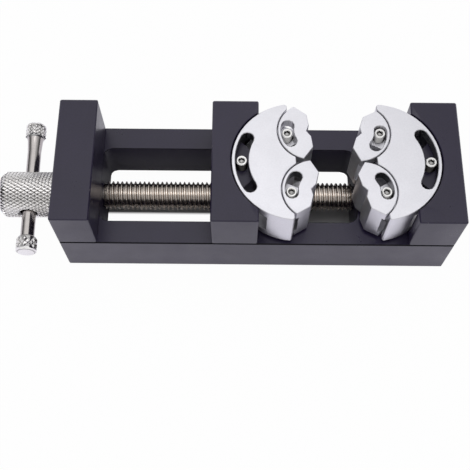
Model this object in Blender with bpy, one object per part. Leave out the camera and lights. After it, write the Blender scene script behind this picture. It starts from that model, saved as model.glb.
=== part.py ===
"""Mini drill press vise with swivelling fractal jaws, modelled as separate pieces.

Units are metres and +Z is up. The origin is on the underside, where the swivel axis
of the fixed crescent meets it. +X runs along the screw towards the fixed end, and the
knob is at the -X end. The vise stands as in use: half open, with its jaws swung a little.
"""

import math

import bmesh
import bpy
from mathutils import Matrix, Vector

# Clearances
TOUCH_GAP = 0.0003
SWIVEL_GAP = 0.00025
THREAD_GAP = 0.00025
OVERRUN = 0.0020

# Base frame: two rails round a through slot
BASE_LENGTH = 0.1050
BASE_WIDTH = 0.0350
BASE_HEIGHT = 0.0154
SCREW_END_WALL = 0.0100
SLOT_LENGTH = 0.0696
SLOT_WIDTH = 0.0219
SLOT_CORNER = 0.0025
REBATE_DEPTH = 0.0022
BLOCK_CORNER = 0.0005
EDGE_CHAMFER = 0.0003

# Blocks on the base
BLOCK_TOP_HEIGHT = 0.0304
END_BLOCK_LENGTH = 0.0101
JAW_BLOCK_LENGTH = 0.0122
SWIVEL_STANDOFF = 0.0098
REST_AXIS_DISTANCE = 0.0205

# Guide tongue of the moving block, and the keeper plate under it
GUIDE_INSET = 0.0006
KEEPER_THICKNESS = 0.0016
KEEPER_OVERHANG = 0.0018

# Block fastening screws, fitted from below
BLOCK_SCREW_RADIUS = 0.0020
BLOCK_SCREW_HEAD_RADIUS = 0.0035
BLOCK_SCREW_HEAD_HEIGHT = 0.0040
BLOCK_SCREW_GRIP = 0.0065
BLOCK_SCREW_KEY_RADIUS = 0.00173
BLOCK_SCREW_KEY_DEPTH = 0.0020
END_SCREW_SPREAD = 0.0100
FIXED_SCREW_SPREAD = 0.0110
FIXED_SCREW_EDGE = 0.0045

# Keeper plate screws
KEEPER_SCREW_RADIUS = 0.00145
KEEPER_SCREW_HEAD_RADIUS = 0.0027
KEEPER_SCREW_GRIP = 0.0060
KEEPER_SCREW_SPREAD = 0.0076
KEEPER_SCREW_KEY_RADIUS = 0.00115
KEEPER_SCREW_KEY_DEPTH = 0.0008

# Lead screw, washer and knob
SCREW_HEIGHT = 0.0080
THREAD_RADIUS = 0.0040
THREAD_CHAMFER = 0.0005
JOURNAL_RADIUS = 0.0030
TAIL_JOURNAL_LENGTH = 0.0090
WASHER_RADIUS = 0.0052
WASHER_THICKNESS = 0.0012
KNOB_RADIUS = 0.0064
KNOB_LENGTH = 0.0172
KNOB_ROUND = 0.0013
KNOB_SEAT_DEPTH = 0.0055
GRUB_RADIUS = 0.00145
GRUB_LENGTH = 0.0024
GRUB_KEY_RADIUS = 0.00087
GRUB_KEY_DEPTH = 0.0010
GRUB_FROM_FACE = 0.0030

# Tommy bar through the knob
BAR_RADIUS = 0.0019
BAR_LENGTH = 0.0396
BAR_OFFSET = 0.0023
BAR_HOLE_GAP = 0.00045
BAR_HOLE_SHIFT = 0.0005
BAR_HOLE_FLARE = 0.0005
CAP_RADIUS = 0.0029
CAP_LENGTH = 0.0045
CAP_CHAMFER = 0.0006
COLLAR_LENGTH = 0.0006
SPIGOT_RADIUS = 0.0012
SPIGOT_LENGTH = 0.0030

# Crescents
CRESCENT_RADIUS = 0.01685
CRESCENT_HEIGHT = 0.0136
CRESCENT_LIFT = 0.0012
TOP_PLATE = 0.0030
BOTTOM_PLATE = 0.0024
POCKET_GAP = 0.0003
TIP_SETBACK = 0.0016
TIP_ROUND = 0.0006
NOSE_SETBACK = 0.0002
NOSE_ROUND = 0.0004
CRESCENT_GROOVE_FLOOR = 0.0112
CRESCENT_GROOVE_HALF_ANGLE = 60
CRESCENT_SLOT_RADIUS = 0.0142
CRESCENT_SLOT_WIDTH = 0.0034
CRESCENT_SLOT_HALF_ANGLE = 29.3
BLOCK_TONGUE_TIP_HALF_WIDTH = 0.0036
BLOCK_TONGUE_ROOT_HALF_WIDTH = 0.0100

# Small jaws, two in each crescent
JAW_RADIUS = 0.00835
JAW_REACH = 0.0040
JAW_SPREAD = 0.0085
JAW_FLAT_HALF_WIDTH = 0.0049
JAW_CORNER_ROUND = 0.0004
JAW_NOTCH_HALF_WIDTH = 0.0016
JAW_NOTCH_DEPTH = 0.0009
JAW_SLOT_RADIUS = 0.0059
JAW_SLOT_WIDTH = 0.0033
JAW_SLOT_HALF_ANGLE = 22.5
JAW_CORE_RADIUS = 0.0030
JAW_FRONT_WALL = 0.0016
JAW_BEVEL_WALL = 0.0009
JAW_GROOVE_MOUTH = 0.0007
JAW_TONGUE_HALF_ANGLE = 28
JAW_TONGUE_ROOT = 0.0006

# Stop screws that hold the crescents and jaws within their slots
STOP_SCREW_RADIUS = 0.00145
STOP_SCREW_LENGTH = 0.0120
STOP_SCREW_CHAMFER = 0.0002
STOP_SCREW_KEY_RADIUS = 0.00087
STOP_SCREW_KEY_DEPTH = 0.0016
JAW_STOP_SCREW_BELOW_TOP = 0.0009
CRESCENT_STOP_SCREW_BELOW_TOP = 0.0004

# How far each piece is swung at rest, in degrees; the bar lies askew in its loose hole
BAR_SWING = 1.4
CRESCENT_REST_SWING = 3.0
MOVING_REAR_SWING = 6.0
MOVING_FRONT_SWING = -16.5
FIXED_REAR_SWING = -20.8
FIXED_FRONT_SWING = 14.1

# Facet counts
ROD_SIDES = 24
KNOB_SIDES = 48
ARC_STEP_DEGREES = 6

# Places worked out from the sizes
BASE_RIGHT = SWIVEL_STANDOFF + JAW_BLOCK_LENGTH
BASE_LEFT = BASE_RIGHT - BASE_LENGTH
SLOT_LEFT = BASE_LEFT + SCREW_END_WALL
SLOT_RIGHT = SLOT_LEFT + SLOT_LENGTH
HALF_WIDTH = BASE_WIDTH / 2
BLOCK_BOTTOM = BASE_HEIGHT + TOUCH_GAP
MOVING_AXIS = -REST_AXIS_DISTANCE
MOVING_BLOCK_RIGHT = MOVING_AXIS - SWIVEL_STANDOFF
MOVING_BLOCK_LEFT = MOVING_BLOCK_RIGHT - JAW_BLOCK_LENGTH
MOVING_BLOCK_MIDDLE = (MOVING_BLOCK_LEFT + MOVING_BLOCK_RIGHT) / 2
GUIDE_HALF_WIDTH = SLOT_WIDTH / 2 - TOUCH_GAP
GUIDE_CORNER = SLOT_CORNER + TOUCH_GAP
KEEPER_HALF_WIDTH = GUIDE_HALF_WIDTH + KEEPER_OVERHANG
KEEPER_TOP = REBATE_DEPTH - TOUCH_GAP
CRESCENT_BOTTOM = BASE_HEIGHT + CRESCENT_LIFT
CRESCENT_TOP = CRESCENT_BOTTOM + CRESCENT_HEIGHT
GROOVE_BOTTOM = CRESCENT_BOTTOM + BOTTOM_PLATE
GROOVE_TOP = CRESCENT_TOP - TOP_PLATE
TONGUE_BOTTOM = GROOVE_BOTTOM + TOUCH_GAP
TONGUE_TOP = GROOVE_TOP - TOUCH_GAP
BLOCK_POCKET_RADIUS = CRESCENT_RADIUS + POCKET_GAP
JAW_POCKET_RADIUS = JAW_RADIUS + SWIVEL_GAP
JAW_STOP_SCREW_TOP = CRESCENT_TOP - JAW_STOP_SCREW_BELOW_TOP
CRESCENT_STOP_SCREW_TOP = CRESCENT_TOP - CRESCENT_STOP_SCREW_BELOW_TOP
KNOB_RIGHT = BASE_LEFT - WASHER_THICKNESS - 2 * TOUCH_GAP
KNOB_LEFT = KNOB_RIGHT - KNOB_LENGTH
BAR_HOLE_X = (KNOB_LEFT + KNOB_RIGHT) / 2 - BAR_HOLE_SHIFT


def clear_scene():
    for obj in list(bpy.data.objects):
        bpy.data.objects.remove(obj, do_unlink=True)


def material(name, colour, roughness, metallic):
    made = bpy.data.materials.new(name)
    made.use_nodes = True
    shader = made.node_tree.nodes["Principled BSDF"]
    shader.inputs["Base Color"].default_value = (*colour, 1.0)
    shader.inputs["Roughness"].default_value = roughness
    shader.inputs["Metallic"].default_value = metallic
    return made


def polar(radius, degrees, centre=(0.0, 0.0)):
    angle = math.radians(degrees)
    return (centre[0] + radius * math.cos(angle), centre[1] + radius * math.sin(angle))


def arc(radius, start, end, centre=(0.0, 0.0)):
    """Points along an arc from start to end degrees, both ends included."""
    steps = max(2, math.ceil(abs(end - start) / ARC_STEP_DEGREES))
    return [polar(radius, start + (end - start) * i / steps, centre) for i in range(steps + 1)]


def bearing(point, centre=(0.0, 0.0)):
    """Direction from the centre to the point, in degrees from 0 to 360."""
    angle = math.atan2(point[1] - centre[1], point[0] - centre[0])
    return math.degrees(angle) % 360


def rounded(before, corner, after, radius):
    """The corner between two edges as a short arc that meets both."""
    corner = Vector(corner)
    back = (Vector(before) - corner).normalized()
    ahead = (Vector(after) - corner).normalized()
    half = back.angle(ahead) / 2
    run = radius / math.tan(half)
    centre = corner + (back + ahead).normalized() * radius / math.sin(half)
    start = corner + back * run - centre
    end = corner + ahead * run - centre
    points = []
    for share in (0, 1 / 3, 2 / 3, 1):
        spoke = start.lerp(end, share).normalized() * radius
        points.append(tuple(centre + spoke))
    return points


def new_mesh(shape, name="shape"):
    bmesh.ops.recalc_face_normals(shape, faces=shape.faces)
    mesh = bpy.data.meshes.new(name)
    shape.to_mesh(mesh)
    shape.free()
    return mesh


def prism(outline, bottom, top):
    """A flat outline in XY, raised from bottom to top."""
    shape = bmesh.new()
    corners = [shape.verts.new((x, y, bottom)) for x, y in outline]
    floor = shape.faces.new(corners)
    raised = bmesh.ops.extrude_face_region(shape, geom=[floor])
    moved = [item for item in raised["geom"] if isinstance(item, bmesh.types.BMVert)]
    bmesh.ops.translate(shape, vec=(0, 0, top - bottom), verts=moved)
    return new_mesh(shape)


def lofted(rings):
    """A closed solid through rings that have the same number of points, capped at both ends."""
    shape = bmesh.new()
    made = [[shape.verts.new(point) for point in ring] for ring in rings]
    for lower, upper in zip(made, made[1:]):
        for i in range(len(lower)):
            j = (i + 1) % len(lower)
            shape.faces.new((lower[i], lower[j], upper[j], upper[i]))
    shape.faces.new(made[0])
    shape.faces.new(made[-1])
    return new_mesh(shape)


def turned(profile, axis, centre=(0.0, 0.0, 0.0), sides=ROD_SIDES):
    """A turned solid along axis from a profile of (distance along, radius) pairs."""
    frames = {
        "X": (Vector((1, 0, 0)), Vector((0, 1, 0)), Vector((0, 0, 1))),
        "Y": (Vector((0, 1, 0)), Vector((0, 0, 1)), Vector((1, 0, 0))),
        "Z": (Vector((0, 0, 1)), Vector((1, 0, 0)), Vector((0, 1, 0))),
    }
    along, across, up = frames[axis]
    middle = Vector(centre)
    rings = []
    for distance, radius in profile:
        ring = []
        for i in range(sides):
            angle = math.tau * i / sides
            spoke = across * math.cos(angle) + up * math.sin(angle)
            ring.append(middle + along * distance + spoke * radius)
        rings.append(ring)
    return lofted(rings)


def rod(radius, start, end, axis, centre=(0.0, 0.0, 0.0), sides=ROD_SIDES):
    return turned([(start, radius), (end, radius)], axis, centre, sides)


def rounded_rectangle(left, right, half_width, corner):
    """A rectangle along X, centred on Y = 0, with round corners."""
    points = []
    for x, y, start in (
        (right - corner, half_width - corner, 0),
        (left + corner, half_width - corner, 90),
        (left + corner, corner - half_width, 180),
        (right - corner, corner - half_width, 270),
    ):
        points += [polar(corner, start + 30 * i, (x, y)) for i in range(4)]
    return points


def milled_block(left, right, half_width, bottom, top):
    """A bar with round upright edges and a small chamfer round its top and bottom."""
    rings = []
    for height, inset in (
        (bottom, EDGE_CHAMFER),
        (bottom + EDGE_CHAMFER, 0),
        (top - EDGE_CHAMFER, 0),
        (top, EDGE_CHAMFER),
    ):
        outline = rounded_rectangle(
            left + inset, right - inset, half_width - inset, BLOCK_CORNER - inset
        )
        rings.append([(x, y, height) for x, y in outline])
    return lofted(rings)


def carve(body, add=(), cut=()):
    """The body joined with each shape in add, then cut by each shape in cut."""
    target = bpy.data.objects.new("target", body)
    bpy.context.scene.collection.objects.link(target)
    tools = []
    for operation, meshes in (("UNION", add), ("DIFFERENCE", cut)):
        for mesh in meshes:
            tool = bpy.data.objects.new("tool", mesh)
            bpy.context.scene.collection.objects.link(tool)
            tools.append(tool)
            modifier = target.modifiers.new(operation.lower(), "BOOLEAN")
            modifier.operation = operation
            modifier.solver = "EXACT"
            modifier.object = tool
    graph = bpy.context.evaluated_depsgraph_get()
    result = bpy.data.meshes.new_from_object(target.evaluated_get(graph))
    for obj in [target, *tools]:
        bpy.data.objects.remove(obj, do_unlink=True)
    return result


def pivot(name, location, swing=0.0, parent=None):
    """An empty on a joint's axis, swung about Z."""
    empty = bpy.data.objects.new(name, None)
    empty.empty_display_size = JAW_RADIUS
    bpy.context.scene.collection.objects.link(empty)
    empty.parent = parent
    empty.location = location
    empty.rotation_euler = (0, 0, math.radians(swing))
    return empty


def place(name, mesh, finish, parent, location=(0, 0, 0)):
    """A named piece on its parent, with one finish and smooth round faces."""
    obj = bpy.data.objects.new(name, mesh)
    bpy.context.scene.collection.objects.link(obj)
    obj.parent = parent
    obj.location = location
    if not mesh.materials:
        mesh.materials.append(finish)
        mesh.shade_smooth()
        mesh.set_sharp_from_angle(angle=math.radians(30))
    return obj


def block_screw(head_bottom):
    """A socket head screw pointing up, with its hexagon socket underneath."""
    head_top = head_bottom + BLOCK_SCREW_HEAD_HEIGHT
    tip = BLOCK_BOTTOM + BLOCK_SCREW_GRIP
    profile = [
        (head_bottom, BLOCK_SCREW_HEAD_RADIUS - EDGE_CHAMFER),
        (head_bottom + EDGE_CHAMFER, BLOCK_SCREW_HEAD_RADIUS),
        (head_top, BLOCK_SCREW_HEAD_RADIUS),
        (head_top, BLOCK_SCREW_RADIUS),
        (tip - EDGE_CHAMFER, BLOCK_SCREW_RADIUS),
        (tip, BLOCK_SCREW_RADIUS - EDGE_CHAMFER),
    ]
    key = rod(
        BLOCK_SCREW_KEY_RADIUS,
        head_bottom - OVERRUN,
        head_bottom + BLOCK_SCREW_KEY_DEPTH,
        "Z",
        sides=6,
    )
    return carve(turned(profile, "Z"), cut=[key])


def block_screw_places():
    """Centres of the screws under the end block and under the fixed block."""
    end_x = SLOT_LEFT - SCREW_END_WALL / 2
    fixed_x = BASE_RIGHT - FIXED_SCREW_EDGE
    end = [(end_x, side * END_SCREW_SPREAD) for side in (1, -1)]
    fixed = [(fixed_x, side * FIXED_SCREW_SPREAD) for side in (1, -1)]
    return end, fixed


def base_frame():
    """The milled base: slot between two rails, keeper rebate, screw bores, counterbores."""
    body = milled_block(BASE_LEFT, BASE_RIGHT, HALF_WIDTH, 0, BASE_HEIGHT)
    slot = prism(
        rounded_rectangle(SLOT_LEFT, SLOT_RIGHT, SLOT_WIDTH / 2, SLOT_CORNER),
        -OVERRUN,
        BASE_HEIGHT + OVERRUN,
    )
    rebate = prism(
        rounded_rectangle(SLOT_LEFT, SLOT_RIGHT, KEEPER_HALF_WIDTH + TOUCH_GAP, SLOT_CORNER),
        -OVERRUN,
        REBATE_DEPTH,
    )
    bore = rod(
        JOURNAL_RADIUS + TOUCH_GAP,
        BASE_LEFT - OVERRUN,
        SLOT_RIGHT + TAIL_JOURNAL_LENGTH + TOUCH_GAP,
        "X",
        (0, 0, SCREW_HEIGHT),
    )
    cuts = [slot, rebate, bore]
    end, fixed = block_screw_places()
    head_room = 2 * TOUCH_GAP + BLOCK_SCREW_HEAD_HEIGHT
    for x, y in end + fixed:
        hole = BLOCK_SCREW_RADIUS + THREAD_GAP
        cuts.append(rod(hole, -OVERRUN, BASE_HEIGHT + OVERRUN, "Z", (x, y, 0)))
        counterbore = BLOCK_SCREW_HEAD_RADIUS + TOUCH_GAP
        cuts.append(rod(counterbore, -OVERRUN, head_room, "Z", (x, y, 0)))
    return carve(body, cut=cuts)


def block_screw_holes(places):
    """Threaded holes in a block's underside for its fastening screws."""
    depth = BLOCK_BOTTOM + BLOCK_SCREW_GRIP + TOUCH_GAP
    hole = BLOCK_SCREW_RADIUS + THREAD_GAP
    return [rod(hole, BLOCK_BOTTOM - OVERRUN, depth, "Z", (x, y, 0)) for x, y in places]


def screw_end_block():
    body = milled_block(
        BASE_LEFT, BASE_LEFT + END_BLOCK_LENGTH, HALF_WIDTH, BLOCK_BOTTOM, BLOCK_TOP_HEIGHT
    )
    return carve(body, cut=block_screw_holes(block_screw_places()[0]))


def block_tongue():
    """The tongue in a block's pocket that enters the crescent's groove, facing +X.

    It is drawn about the swivel axis, which lies in front of the block."""
    tip = CRESCENT_GROOVE_FLOOR + TOUCH_GAP
    tip_angle = math.degrees(math.asin(BLOCK_TONGUE_TIP_HALF_WIDTH / tip))
    outline = arc(tip, 180 + tip_angle, 180 - tip_angle)
    root = BLOCK_POCKET_RADIUS + POCKET_GAP
    outline += [(-root, BLOCK_TONGUE_ROOT_HALF_WIDTH), (-root, -BLOCK_TONGUE_ROOT_HALF_WIDTH)]
    return prism(outline, TONGUE_BOTTOM, TONGUE_TOP)


def jaw_block(add=(), cut=()):
    """A block with a round pocket and a tongue for its crescent, facing +X from the origin."""
    body = milled_block(
        -SWIVEL_STANDOFF - JAW_BLOCK_LENGTH,
        -SWIVEL_STANDOFF,
        HALF_WIDTH,
        BLOCK_BOTTOM,
        BLOCK_TOP_HEIGHT,
    )
    pocket = prism(
        arc(BLOCK_POCKET_RADIUS, 0, 360)[:-1],
        BLOCK_BOTTOM - OVERRUN,
        BLOCK_TOP_HEIGHT + OVERRUN,
    )
    pocketed = carve(body, cut=[pocket])
    stop_hole = rod(
        STOP_SCREW_RADIUS + THREAD_GAP,
        TONGUE_BOTTOM - OVERRUN,
        TONGUE_TOP + OVERRUN,
        "Z",
        (-CRESCENT_SLOT_RADIUS, 0, 0),
    )
    return carve(pocketed, add=[block_tongue(), *add], cut=[stop_hole, *cut])


def fixed_block():
    """The fixed block is a jaw block turned to face -X, held from below."""
    turn = Matrix.Rotation(math.pi, 4, "Z")
    places = block_screw_places()[1]
    holes = block_screw_holes([(-x, -y) for x, y in places])
    mesh = jaw_block(cut=holes)
    mesh.transform(turn)
    return mesh


def moving_block():
    """The moving block has a guide tongue through the slot, threaded for the lead screw."""
    left = -SWIVEL_STANDOFF - JAW_BLOCK_LENGTH + GUIDE_INSET
    right = -SWIVEL_STANDOFF - GUIDE_INSET
    guide = prism(
        rounded_rectangle(left, right, GUIDE_HALF_WIDTH, GUIDE_CORNER),
        REBATE_DEPTH,
        BLOCK_BOTTOM + TOUCH_GAP,
    )
    screw_hole = rod(
        THREAD_RADIUS + TOUCH_GAP, left - OVERRUN, right + OVERRUN, "X", (0, 0, SCREW_HEIGHT)
    )
    cuts = [screw_hole]
    for side in (1, -1):
        cuts.append(
            rod(
                KEEPER_SCREW_RADIUS + THREAD_GAP,
                REBATE_DEPTH - OVERRUN,
                KEEPER_TOP + KEEPER_SCREW_GRIP + TOUCH_GAP,
                "Z",
                (MOVING_BLOCK_MIDDLE - MOVING_AXIS, side * KEEPER_SCREW_SPREAD, 0),
            )
        )
    return jaw_block(add=[guide], cut=cuts)


def keeper_plate():
    """The plate under the rails that keeps the moving block down, countersunk below."""
    half = JAW_BLOCK_LENGTH / 2 - GUIDE_INSET
    bottom = KEEPER_TOP - KEEPER_THICKNESS
    middle = MOVING_BLOCK_MIDDLE - MOVING_AXIS
    plate = prism(
        rounded_rectangle(middle - half, middle + half, KEEPER_HALF_WIDTH, GUIDE_CORNER),
        bottom,
        KEEPER_TOP,
    )
    head = KEEPER_SCREW_HEAD_RADIUS + THREAD_GAP
    shank = KEEPER_SCREW_RADIUS + THREAD_GAP
    profile = [
        (bottom - OVERRUN, head),
        (bottom, head),
        (bottom + head - shank, shank),
        (KEEPER_TOP + OVERRUN, shank),
    ]
    sinks = [
        turned(profile, "Z", (middle, side * KEEPER_SCREW_SPREAD, 0)) for side in (1, -1)
    ]
    return carve(plate, cut=sinks)


def keeper_screw():
    bottom = KEEPER_TOP - KEEPER_THICKNESS
    tip = KEEPER_TOP + KEEPER_SCREW_GRIP
    profile = [
        (bottom, KEEPER_SCREW_HEAD_RADIUS),
        (bottom + KEEPER_SCREW_HEAD_RADIUS - KEEPER_SCREW_RADIUS, KEEPER_SCREW_RADIUS),
        (tip - EDGE_CHAMFER, KEEPER_SCREW_RADIUS),
        (tip, KEEPER_SCREW_RADIUS - EDGE_CHAMFER),
    ]
    key_top = bottom + KEEPER_SCREW_KEY_DEPTH
    key = rod(KEEPER_SCREW_KEY_RADIUS, bottom - OVERRUN, key_top, "Z", sides=6)
    return carve(turned(profile, "Z"), cut=[key])


def lead_screw():
    """The screw's threaded length at its outer size, with a plain journal at each end."""
    start = KNOB_RIGHT - KNOB_SEAT_DEPTH + TOUCH_GAP
    thread_start = SLOT_LEFT + TOUCH_GAP
    thread_end = SLOT_RIGHT - TOUCH_GAP
    end = SLOT_RIGHT + TAIL_JOURNAL_LENGTH
    root = THREAD_RADIUS - THREAD_CHAMFER
    profile = [
        (start, JOURNAL_RADIUS - EDGE_CHAMFER),
        (start + EDGE_CHAMFER, JOURNAL_RADIUS),
        (thread_start, JOURNAL_RADIUS),
        (thread_start, root),
        (thread_start + THREAD_CHAMFER, THREAD_RADIUS),
        (thread_end - THREAD_CHAMFER, THREAD_RADIUS),
        (thread_end, root),
        (thread_end, JOURNAL_RADIUS),
        (end - EDGE_CHAMFER, JOURNAL_RADIUS),
        (end, JOURNAL_RADIUS - EDGE_CHAMFER),
    ]
    return turned(profile, "X")


def thrust_washer():
    right = BASE_LEFT - TOUCH_GAP
    left = right - WASHER_THICKNESS
    disc = rod(WASHER_RADIUS, left, right, "X", sides=KNOB_SIDES)
    hole = rod(JOURNAL_RADIUS + TOUCH_GAP, left - OVERRUN, right + OVERRUN, "X")
    return carve(disc, cut=[hole])


def handle_knob():
    """The knob: a seat for the screw's journal, a flared cross hole and a grub screw hole."""
    rise = KNOB_ROUND
    profile = [(KNOB_LEFT, KNOB_RADIUS - rise)]
    for degrees in (30, 60, 90):
        across = rise * (1 - math.sin(math.radians(degrees)))
        along = rise * (1 - math.cos(math.radians(degrees)))
        profile.append((KNOB_LEFT + along, KNOB_RADIUS - across))
    profile += [(KNOB_LEFT + KNOB_RIGHT - along, radius) for along, radius in reversed(profile)]
    seat = rod(
        JOURNAL_RADIUS + TOUCH_GAP, KNOB_RIGHT - KNOB_SEAT_DEPTH, KNOB_RIGHT + OVERRUN, "X"
    )
    hole = BAR_RADIUS + BAR_HOLE_GAP
    outside = KNOB_RADIUS + OVERRUN
    flare_start = KNOB_RADIUS - BAR_HOLE_FLARE
    flare = hole + BAR_HOLE_FLARE
    cross = turned(
        [
            (-outside, flare),
            (-flare_start - BAR_HOLE_FLARE / 2, flare),
            (-flare_start, hole),
            (flare_start, hole),
            (flare_start + BAR_HOLE_FLARE / 2, flare),
            (outside, flare),
        ],
        "Y",
        (BAR_HOLE_X, 0, 0),
    )
    grub_x = KNOB_RIGHT - GRUB_FROM_FACE
    grub = rod(GRUB_RADIUS + THREAD_GAP, -outside, 0, "Z", (grub_x, 0, 0))
    return carve(turned(profile, "X", sides=KNOB_SIDES), cut=[seat, cross, grub])


def knob_grub_screw():
    """A short set screw that enters the knob from below and bears on the journal."""
    top = -JOURNAL_RADIUS - TOUCH_GAP
    bottom = top - GRUB_LENGTH
    profile = [
        (bottom, GRUB_RADIUS - STOP_SCREW_CHAMFER),
        (bottom + STOP_SCREW_CHAMFER, GRUB_RADIUS),
        (top - STOP_SCREW_CHAMFER, GRUB_RADIUS),
        (top, GRUB_RADIUS - STOP_SCREW_CHAMFER),
    ]
    key = rod(GRUB_KEY_RADIUS, bottom - OVERRUN, bottom + GRUB_KEY_DEPTH, "Z", sides=6)
    mesh = carve(turned(profile, "Z"), cut=[key])
    mesh.transform(Matrix.Translation((KNOB_RIGHT - GRUB_FROM_FACE, 0, 0)))
    return mesh


def cap_profile(inner, outer):
    """A cap's outline from its inner face to its outer face, along the bar."""
    step = math.copysign(CAP_CHAMFER, outer - inner)
    return [
        (inner, CAP_RADIUS - CAP_CHAMFER),
        (inner + step, CAP_RADIUS),
        (outer - step, CAP_RADIUS),
        (outer, CAP_RADIUS - CAP_CHAMFER),
    ]


def tommy_bar():
    """The bar with its own rear cap, and a spigot at the front for the other cap."""
    half = BAR_LENGTH / 2
    shoulder = -half + CAP_LENGTH + TOUCH_GAP
    collar = half - CAP_LENGTH - COLLAR_LENGTH
    profile = [
        (shoulder - SPIGOT_LENGTH, SPIGOT_RADIUS),
        (shoulder, SPIGOT_RADIUS),
        (shoulder, BAR_RADIUS),
        (collar, BAR_RADIUS),
        *cap_profile(half - CAP_LENGTH, half),
    ]
    return turned(profile, "Y")


def tommy_bar_cap():
    half = BAR_LENGTH / 2
    inner = -half + CAP_LENGTH
    body = turned(cap_profile(inner, -half), "Y")
    depth = inner + TOUCH_GAP - SPIGOT_LENGTH - TOUCH_GAP
    bore = rod(SPIGOT_RADIUS + THREAD_GAP, depth, inner + OVERRUN, "Y")
    return carve(body, cut=[bore])


def arc_slot(radius, width, half_angle):
    """The outline of an arc-shaped slot round the origin, behind it on the -X side."""
    end = width / 2
    first = polar(radius, 180 - half_angle)
    last = polar(radius, 180 + half_angle)
    outline = arc(radius + end, 180 - half_angle, 180 + half_angle)
    outline += [polar(end, 180 + half_angle + 30 * i, last) for i in range(1, 6)]
    outline += arc(radius - end, 180 + half_angle, 180 - half_angle)
    outline += [polar(end, -half_angle + 30 * i, first) for i in range(1, 6)]
    return outline


def crescent_outline():
    """The crescent's plan: outer arc, blunt tips, two round pockets and the nose between."""
    side = math.sqrt(CRESCENT_RADIUS**2 - TIP_SETBACK**2)
    outer_tip = (-TIP_SETBACK, side)
    pocket = (JAW_REACH, JAW_SPREAD)
    tip_reach = math.sqrt(JAW_POCKET_RADIUS**2 - (JAW_REACH + TIP_SETBACK) ** 2)
    nose_reach = math.sqrt(JAW_POCKET_RADIUS**2 - (JAW_REACH + NOSE_SETBACK) ** 2)
    inner_tip = (-TIP_SETBACK, JAW_SPREAD + tip_reach)
    nose = (-NOSE_SETBACK, JAW_SPREAD - nose_reach)
    half = arc(CRESCENT_RADIUS, 180, bearing(outer_tip))
    walk = arc(JAW_POCKET_RADIUS, bearing(inner_tip, pocket), bearing(nose, pocket), pocket)
    mirrored_nose = (nose[0], -nose[1])
    upper = half[:-1]
    upper += rounded(half[-2], outer_tip, inner_tip, TIP_ROUND)
    upper += rounded(outer_tip, inner_tip, walk[1], TIP_ROUND)
    upper += walk[1:-1]
    upper += rounded(walk[-2], nose, mirrored_nose, NOSE_ROUND)
    lower = [(x, -y) for x, y in reversed(upper[1:])]
    return upper + lower


def sector(inner, outer, half_angle, centre=(0.0, 0.0)):
    """A ring sector on the -X side of its centre."""
    outline = arc(outer, 180 - half_angle, 180 + half_angle, centre)
    return outline + arc(inner, 180 + half_angle, 180 - half_angle, centre)


def crescent():
    """A crescent facing +X: groove for the block's tongue, two tongues for its jaws."""
    body = prism(crescent_outline(), CRESCENT_BOTTOM, CRESCENT_TOP)
    tongue_tip = JAW_CORE_RADIUS + TOUCH_GAP
    tongue_root = JAW_POCKET_RADIUS + JAW_TONGUE_ROOT
    tongues = []
    holes = []
    for side in (1, -1):
        centre = (JAW_REACH, side * JAW_SPREAD)
        outline = sector(tongue_tip, tongue_root, JAW_TONGUE_HALF_ANGLE, centre)
        tongues.append(prism(outline, TONGUE_BOTTOM, TONGUE_TOP))
        screw_at = (JAW_REACH - JAW_SLOT_RADIUS, side * JAW_SPREAD, 0)
        hole = STOP_SCREW_RADIUS + THREAD_GAP
        holes.append(rod(hole, CRESCENT_BOTTOM, CRESCENT_TOP, "Z", screw_at))
    groove = prism(
        sector(CRESCENT_GROOVE_FLOOR, CRESCENT_RADIUS + OVERRUN, CRESCENT_GROOVE_HALF_ANGLE),
        GROOVE_BOTTOM,
        GROOVE_TOP,
    )
    slot = prism(
        arc_slot(CRESCENT_SLOT_RADIUS, CRESCENT_SLOT_WIDTH, CRESCENT_SLOT_HALF_ANGLE),
        CRESCENT_BOTTOM - OVERRUN,
        CRESCENT_TOP + OVERRUN,
    )
    return carve(body, add=tongues, cut=[groove, slot, *holes])


def jaw_bevel_end():
    """Where a small jaw's 45 degree bevel meets its round back."""
    flat = JAW_FLAT_HALF_WIDTH
    run = (math.sqrt(2 * JAW_RADIUS**2 - flat**2) - flat) / 2
    return (-run, flat + run)


def jaw_outline():
    """A small jaw's plan: flat nose with a notch, two bevels and a round back."""
    flat = JAW_FLAT_HALF_WIDTH
    bevel_end = jaw_bevel_end()
    back = arc(JAW_RADIUS, bearing(bevel_end), 360 - bearing(bevel_end))
    upper_notch = (0.0, JAW_NOTCH_HALF_WIDTH)
    lower_notch = (0.0, -JAW_NOTCH_HALF_WIDTH)
    outline = [lower_notch, (-JAW_NOTCH_DEPTH, 0.0), upper_notch]
    outline += rounded(upper_notch, (0.0, flat), bevel_end, JAW_CORNER_ROUND)
    outline += back
    outline += rounded(back[-1], (0.0, -flat), lower_notch, JAW_CORNER_ROUND)
    return outline


def jaw_groove_outline():
    """The plan of the space behind a small jaw's front wall, round its core.

    It opens on the two bevels, a little in front of the round back."""
    wall = JAW_FRONT_WALL
    core = math.sqrt(JAW_CORE_RADIUS**2 - wall**2)
    bevel_line = JAW_FLAT_HALF_WIDTH - math.sqrt(2) * JAW_BEVEL_WALL
    inside = Vector((-wall, bevel_line + wall))
    mouth = Vector(jaw_bevel_end()) + Vector((1, -1)).normalized() * JAW_GROOVE_MOUTH
    outside = mouth + (mouth - inside).normalized() * OVERRUN
    far = JAW_RADIUS + OVERRUN
    start = bearing((-wall, core))
    upper = [tuple(inside), tuple(outside), (-far, outside.y)]
    lower = [(x, -y) for x, y in reversed(upper)]
    return upper + lower + arc(JAW_CORE_RADIUS, 360 - start, start)


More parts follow.
